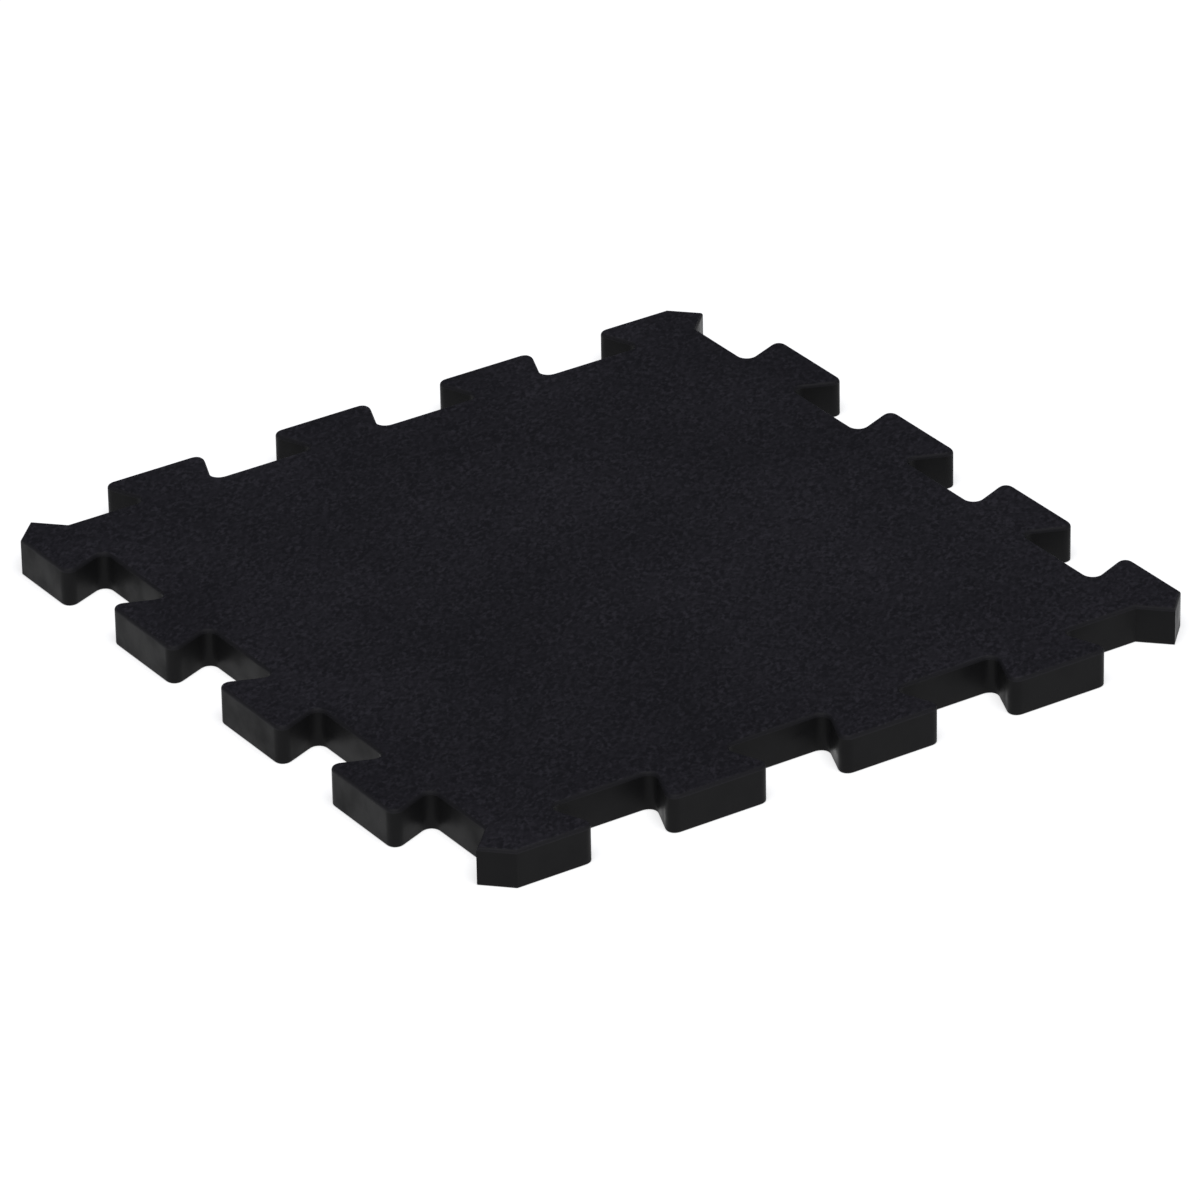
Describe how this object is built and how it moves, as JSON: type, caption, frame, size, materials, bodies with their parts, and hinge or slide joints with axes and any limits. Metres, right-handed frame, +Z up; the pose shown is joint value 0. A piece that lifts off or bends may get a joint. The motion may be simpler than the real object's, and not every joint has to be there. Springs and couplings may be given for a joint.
{
  "type": "interlocking floor tile",
  "caption": "Square moulded rubber floor tile with dovetail tabs and slots along all sides, so that like tiles lock together into a floor.",
  "frame": {"origin": "middle of the tile's underside", "axes": "+Z up through the thickness, with the walking face up; the tile's sides run along X and Y"},
  "size_m": [0.3202, 0.3202, 0.015],
  "materials": {
    "rubber": "matt black moulded rubber with a fine grain on top and smooth sides"
  },
  "bodies": {
    "root": {"floor_tile": "rubber"}
  },
  "joints": []
}
